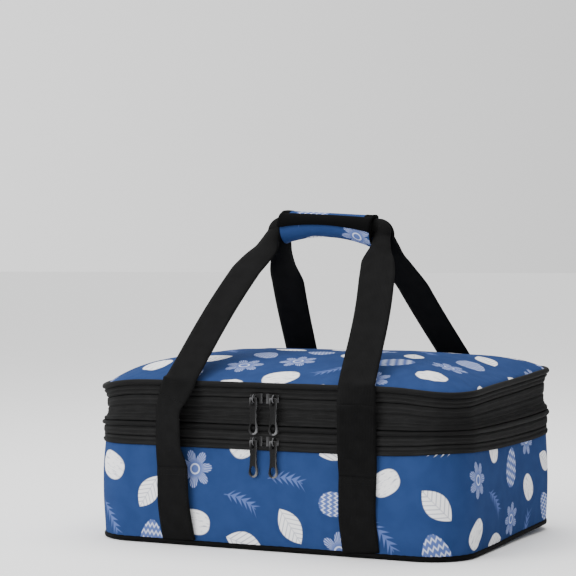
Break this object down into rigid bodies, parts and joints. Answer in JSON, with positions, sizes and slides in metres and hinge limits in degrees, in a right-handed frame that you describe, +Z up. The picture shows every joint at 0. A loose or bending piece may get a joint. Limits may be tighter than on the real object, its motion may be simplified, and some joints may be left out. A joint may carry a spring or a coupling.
{
  "type": "insulated casserole carrier",
  "caption": "Soft insulated carrier for a baking dish: padded base, zipped crowned lid, expanding upper band, webbing carry loops and a wrap grip.",
  "frame": {"origin": "centre of the flat base, on the surface it stands on", "axes": "+X to the right along the front, +Y to the back, +Z up"},
  "size_m": [0.4156, 0.3122, 0.3475],
  "materials": {
    "print_cloth": "woven polyester with a small printed motif, padded",
    "black_cloth": "black woven tape, piping and webbing",
    "coil": "black nylon coil",
    "foil": "silver foil film lining",
    "board": "plain plastic board",
    "black_metal": "gloss black paint"
  },
  "bodies": {
    "body": {"body_shell": "print_cloth", "base_board": "board", "body_lining": "foil", "base_trim": "black_cloth", "lower_zip_tape_lower": "black_cloth", "lower_zip_coil_lower": "coil", "lower_zip_coil_upper": "coil", "lower_zip_tape_upper": "black_cloth", "lower_zip_back_hinge": "black_cloth", "deck_piping": "black_cloth", "folded_wall": "print_cloth", "front_left_strap_sewn": "black_cloth", "front_left_strap_riser": "black_cloth", "front_right_strap_sewn": "black_cloth", "front_right_strap_riser": "black_cloth", "back_left_strap_sewn": "black_cloth", "back_left_strap_riser": "black_cloth", "back_right_strap_sewn": "black_cloth", "back_right_strap_riser": "black_cloth"},
    "deck": {"deck_band": "black_cloth", "upper_zip_tape_lower": "black_cloth", "upper_zip_coil_lower": "coil", "upper_zip_back_hinge": "black_cloth"},
    "lid": {"lid_panel": "print_cloth", "lid_lining": "foil", "lid_piping": "black_cloth", "upper_zip_coil_upper": "coil", "upper_zip_tape_upper": "black_cloth"},
    "front_loop": {"front_carry_loop": "black_cloth"},
    "back_loop": {"back_carry_loop": "black_cloth", "grip_pad": "print_cloth", "grip_loop_strip": "black_cloth"},
    "flap": {"grip_flap": "print_cloth", "grip_hook_strip": "black_cloth"},
    "upper_left_slider": {"upper_left_slider": "black_metal"},
    "upper_left_pull": {"upper_left_pull": "black_metal"},
    "upper_right_slider": {"upper_right_slider": "black_metal"},
    "upper_right_pull": {"upper_right_pull": "black_metal"},
    "lower_left_slider": {"lower_left_slider": "black_metal"},
    "lower_left_pull": {"lower_left_pull": "black_metal"},
    "lower_right_slider": {"lower_right_slider": "black_metal"},
    "lower_right_pull": {"lower_right_pull": "black_metal"}
  },
  "joints": [
    {"name": "expand", "type": "slide", "parent": "body", "child": "deck", "axis": [0, 0, 1], "range_m": [0, 0.046], "deforming": ["front_left_strap_riser", "front_right_strap_riser", "back_left_strap_riser", "back_right_strap_riser", "folded_wall"]},
    {"name": "lid_hinge", "type": "hinge", "parent": "deck", "child": "lid", "pos_m": [0, 0.153, 0.1631], "axis": [-1, 0, 0], "range_deg": [0, 105]},
    {"name": "front_loop_swing", "type": "hinge", "parent": "deck", "child": "front_loop", "pos_m": [0, -0.1541, 0.1664], "axis": [1, 0, 0], "range_deg": [0, 170], "deforming": ["front_carry_loop"]},
    {"name": "back_loop_swing", "type": "hinge", "parent": "deck", "child": "back_loop", "pos_m": [0, 0.1541, 0.1664], "axis": [-1, 0, 0], "range_deg": [0, 170], "deforming": ["back_carry_loop"]},
    {"name": "grip_flap_hinge", "type": "hinge", "parent": "back_loop", "child": "flap", "pos_m": [0, 0.00684, 0.34532], "axis": [-1, 0, 0], "range_deg": [0, 140]},
    {"name": "upper_left_slider_slide", "type": "slide", "parent": "deck", "child": "upper_left_slider", "axis": [-1, 0, 0], "range_m": [0, 0.06]},
    {"name": "upper_left_pull_hinge", "type": "hinge", "parent": "upper_left_slider", "child": "upper_left_pull", "pos_m": [-0.011, -0.1542, 0.1523], "axis": [-1, 0, 0], "range_deg": [0, 160]},
    {"name": "upper_right_slider_slide", "type": "slide", "parent": "deck", "child": "upper_right_slider", "axis": [1, 0, 0], "range_m": [0, 0.06]},
    {"name": "upper_right_pull_hinge", "type": "hinge", "parent": "upper_right_slider", "child": "upper_right_pull", "pos_m": [0.011, -0.1542, 0.1523], "axis": [-1, 0, 0], "range_deg": [0, 160]},
    {"name": "lower_left_slider_slide", "type": "slide", "parent": "body", "child": "lower_left_slider", "axis": [-1, 0, 0], "range_m": [0, 0.06]},
    {"name": "lower_left_pull_hinge", "type": "hinge", "parent": "lower_left_slider", "child": "lower_left_pull", "pos_m": [-0.011, -0.1542, 0.1097], "axis": [-1, 0, 0], "range_deg": [0, 160]},
    {"name": "lower_right_slider_slide", "type": "slide", "parent": "body", "child": "lower_right_slider", "axis": [1, 0, 0], "range_m": [0, 0.06]},
    {"name": "lower_right_pull_hinge", "type": "hinge", "parent": "lower_right_slider", "child": "lower_right_pull", "pos_m": [0.011, -0.1542, 0.1097], "axis": [-1, 0, 0], "range_deg": [0, 160]}
  ],
  "couplings": [
    {"joint": "front_loop_swing", "follows": "lid_hinge", "ratio": 1.59},
    {"joint": "back_loop_swing", "follows": "lid_hinge", "ratio": 1.59}
  ]
}
